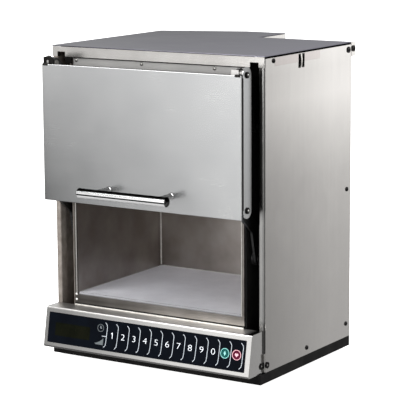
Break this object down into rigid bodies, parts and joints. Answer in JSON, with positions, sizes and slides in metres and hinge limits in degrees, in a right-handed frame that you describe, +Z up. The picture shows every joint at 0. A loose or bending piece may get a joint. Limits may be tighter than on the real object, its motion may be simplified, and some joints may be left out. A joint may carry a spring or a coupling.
{
  "type": "countertop microwave oven",
  "caption": "Upright stainless countertop microwave oven with a lift-up door on cranked arms, a bar handle and a flat keypad panel.",
  "frame": {"origin": "middle of the footprint, on the surface that the feet stand on", "axes": "+Z up, +X to the right as seen from the front, -Y towards the user and the door"},
  "size_m": [0.42, 0.4984, 0.543],
  "materials": {
    "brushed_steel_casing": "vertical brushed grain, satin",
    "top_steel": "satin steel",
    "door_steel": "horizontal brushed grain, satin",
    "cavity_steel": "satin steel",
    "arm_steel": "dark zinc",
    "polished_steel": "polished",
    "galvanised_steel": "galvanised sheet",
    "wheel_plastic": "moulded",
    "black_paint": "satin black",
    "black_plastic": "fine grain",
    "foot_rubber": "matte",
    "membrane": "printed film, semi-gloss",
    "floor_ceramic": "smooth, semi-matte",
    "cover_mica": "matte",
    "circuit_board": "solder mask",
    "lamp_glass": "clear"
  },
  "bodies": {
    "cabinet": {"side_panel_left": "brushed_steel_casing", "side_panel_right": "brushed_steel_casing", "front_rail": "brushed_steel_casing", "front_strip_left": "brushed_steel_casing", "front_strip_right": "brushed_steel_casing", "upper_front_panel": "brushed_steel_casing", "rear_corner_panel": "brushed_steel_casing", "rear_panel_middle": "brushed_steel_casing", "rear_panel_right": "brushed_steel_casing", "rear_side_panel": "brushed_steel_casing", "control_housing": "brushed_steel_casing", "top_cover": "top_steel", "cavity_liner": "cavity_steel", "cavity_front_frame": "cavity_steel", "arm_channel_left": "cavity_steel", "lift_spring_left": "arm_steel", "lift_spring_right": "arm_steel", "antenna_motor": "galvanised_steel", "waveguide": "galvanised_steel", "magnetron": "galvanised_steel", "transformer": "galvanised_steel", "capacitor": "galvanised_steel", "blower_housing": "galvanised_steel", "base_pan": "black_paint", "arm_channel_right": "black_paint", "blower_motor": "black_paint", "door_switch_left": "black_plastic", "door_switch_right": "black_plastic", "cable_gland": "black_plastic", "display_module": "black_plastic", "foot_front_left": "foot_rubber", "foot_front_right": "foot_rubber", "foot_rear_left": "foot_rubber", "foot_rear_right": "foot_rubber", "control_overlay": "membrane", "ceramic_floor": "floor_ceramic", "antenna_cover": "cover_mica", "control_board": "circuit_board", "cavity_lamp": "lamp_glass"},
    "door": {"door_skin": "door_steel", "door_core": "black_paint", "door_choke": "black_plastic", "door_side_left": "door_steel", "door_side_right": "door_steel", "door_pin_lower_left": "black_paint", "door_pin_lower_right": "black_paint", "door_pin_upper_left": "black_paint", "door_pin_upper_right": "black_paint", "handle_bar": "polished_steel", "handle_post_left": "polished_steel", "handle_post_right": "polished_steel"},
    "arm_lower_right": {"lift_arm_lower_right": "arm_steel"},
    "arm_lower_left": {"lift_arm_lower_left": "arm_steel"},
    "arm_upper_right": {"lift_arm_upper_right": "arm_steel"},
    "arm_upper_left": {"lift_arm_upper_left": "arm_steel"},
    "antenna": {"antenna": "galvanised_steel"},
    "blower_wheel": {"blower_wheel": "wheel_plastic"}
  },
  "joints": [
    {"name": "lift_lower_right", "type": "hinge", "parent": "cabinet", "child": "arm_lower_right", "pos_m": [0.182, -0.1168, 0.208], "axis": [1, 0, 0], "range_deg": [0, 124.9]},
    {"name": "door_pivot", "type": "hinge", "parent": "arm_lower_right", "child": "door", "pos_m": [0.182, -0.1733, 0.2977], "axis": [1, 0, 0], "range_deg": [-125, 0.1]},
    {"name": "lift_lower_left", "type": "hinge", "parent": "cabinet", "child": "arm_lower_left", "pos_m": [-0.182, -0.1168, 0.208], "axis": [1, 0, 0], "range_deg": [-0.1, 125]},
    {"name": "lift_upper_right", "type": "hinge", "parent": "cabinet", "child": "arm_upper_right", "pos_m": [0.182, -0.1168, 0.4257], "axis": [1, 0, 0], "range_deg": [-0.1, 125]},
    {"name": "lift_upper_left", "type": "hinge", "parent": "cabinet", "child": "arm_upper_left", "pos_m": [-0.182, -0.1168, 0.4257], "axis": [1, 0, 0], "range_deg": [-0.1, 125]},
    {"name": "antenna_spin", "type": "hinge", "parent": "cabinet", "child": "antenna", "pos_m": [0, -0.0118, 0.31], "axis": [0, 0, 1], "continuous": true},
    {"name": "blower_spin", "type": "hinge", "parent": "cabinet", "child": "blower_wheel", "pos_m": [-0.095, 0.1572, 0.419], "axis": [0, 1, 0], "continuous": true}
  ],
  "couplings": [
    {"joint": "door_pivot", "follows": "lift_lower_right", "ratio": -1},
    {"joint": "lift_lower_left", "follows": "lift_lower_right", "ratio": 1},
    {"joint": "lift_upper_right", "follows": "lift_lower_right", "ratio": 1},
    {"joint": "lift_upper_left", "follows": "lift_lower_right", "ratio": 1}
  ]
}
